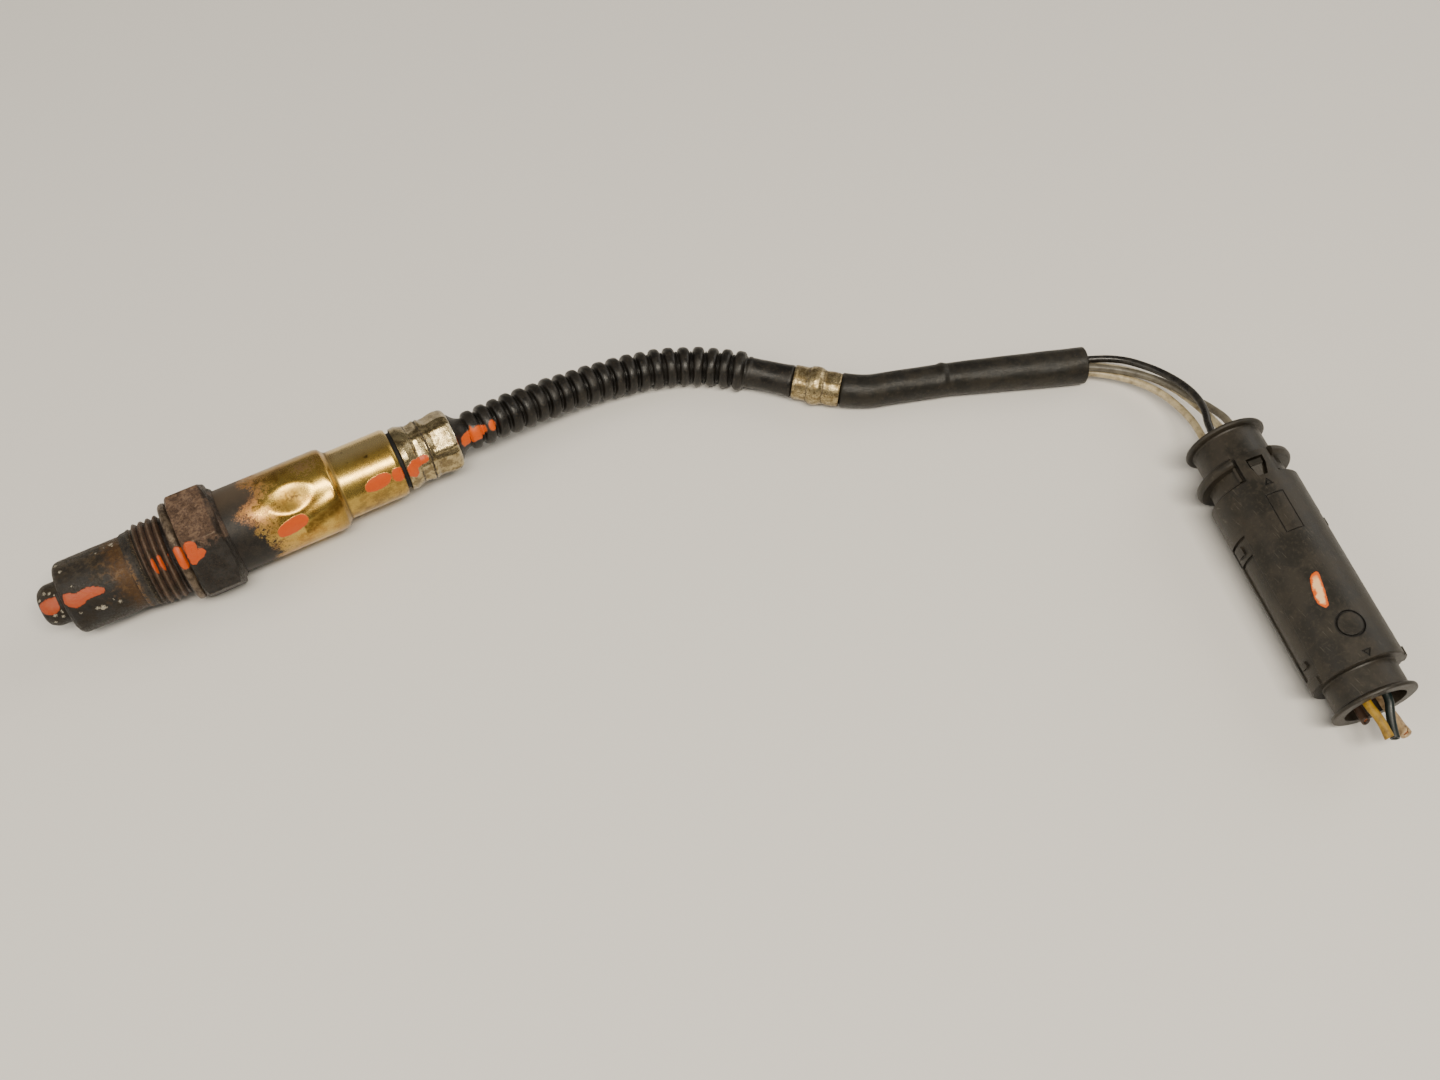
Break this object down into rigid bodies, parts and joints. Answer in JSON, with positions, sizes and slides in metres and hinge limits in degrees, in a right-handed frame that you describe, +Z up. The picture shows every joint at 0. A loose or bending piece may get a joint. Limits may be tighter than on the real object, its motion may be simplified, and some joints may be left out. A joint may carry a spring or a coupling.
{
  "type": "oxygen sensor",
  "caption": "Used heated exhaust oxygen sensor: probe with hex housing and stepped sleeve, corrugated boot, wires and mated round connector.",
  "frame": {"origin": "under the middle of the sensor body (probe tip to rear crimp), on the surface that the hexagon's flat lies on", "axes": "+X along the sensor axis from the probe tip to the cable end, +Z up, sensor lying on one flat of its hexagon"},
  "size_m": [0.2467, 0.1633, 0.022],
  "materials": {
    "sooted_steel": "sooted and scaled",
    "oxidised_steel": "oxidised, brown and black",
    "tinted_steel": "heat tinted, satin",
    "bright_steel": "dull bright",
    "spring_steel": "plain",
    "zirconia": "matt",
    "packing": "pressed powder",
    "rubber": "semi-gloss black",
    "sleeve_rubber": "satin black",
    "seal_rubber": "soft matt",
    "connector_plastic": "fine-grained satin black",
    "lock_plastic": "plain",
    "contact_brass": "plain",
    "wire_black": "smooth insulation",
    "wire_grey": "smooth insulation",
    "wire_white": "smooth insulation, yellowed",
    "wire_yellow": "dirty insulation",
    "wire_teal": "smooth insulation",
    "wire_cream": "dirty insulation",
    "wire_brown": "smooth insulation"
  },
  "bodies": {
    "root": {"inner_protection_tube": "sooted_steel", "outer_protection_tube": "sooted_steel", "hex_housing": "oxidised_steel", "seal_ring": "oxidised_steel", "sensing_element": "zirconia", "heater_rod": "zirconia", "support_ceramic": "zirconia", "powder_packing": "packing", "ceramic_bush": "zirconia", "packing_washer": "spring_steel", "protective_sleeve": "tinted_steel", "contact_holder": "zirconia", "contact_clips": "spring_steel", "holder_spring": "spring_steel", "crimp_terminals": "spring_steel", "rear_grommet": "rubber", "rear_crimp_sleeve": "bright_steel", "rubber_boot": "rubber", "ferrule": "bright_steel", "cable_sleeve": "sleeve_rubber", "wire_black": "wire_black", "wire_grey": "wire_grey", "wire_white_a": "wire_white", "wire_white_b": "wire_white", "plug_housing": "connector_plastic", "plug_rear_seal": "seal_rubber", "plug_pins": "contact_brass", "interface_seal": "seal_rubber", "socket_housing": "connector_plastic", "socket_terminals": "contact_brass", "socket_rear_seal": "seal_rubber", "terminal_lock": "lock_plastic", "harness_wire_yellow": "wire_yellow", "harness_wire_teal": "wire_teal", "harness_wire_cream": "wire_cream", "harness_wire_brown": "wire_brown"}
  },
  "joints": []
}
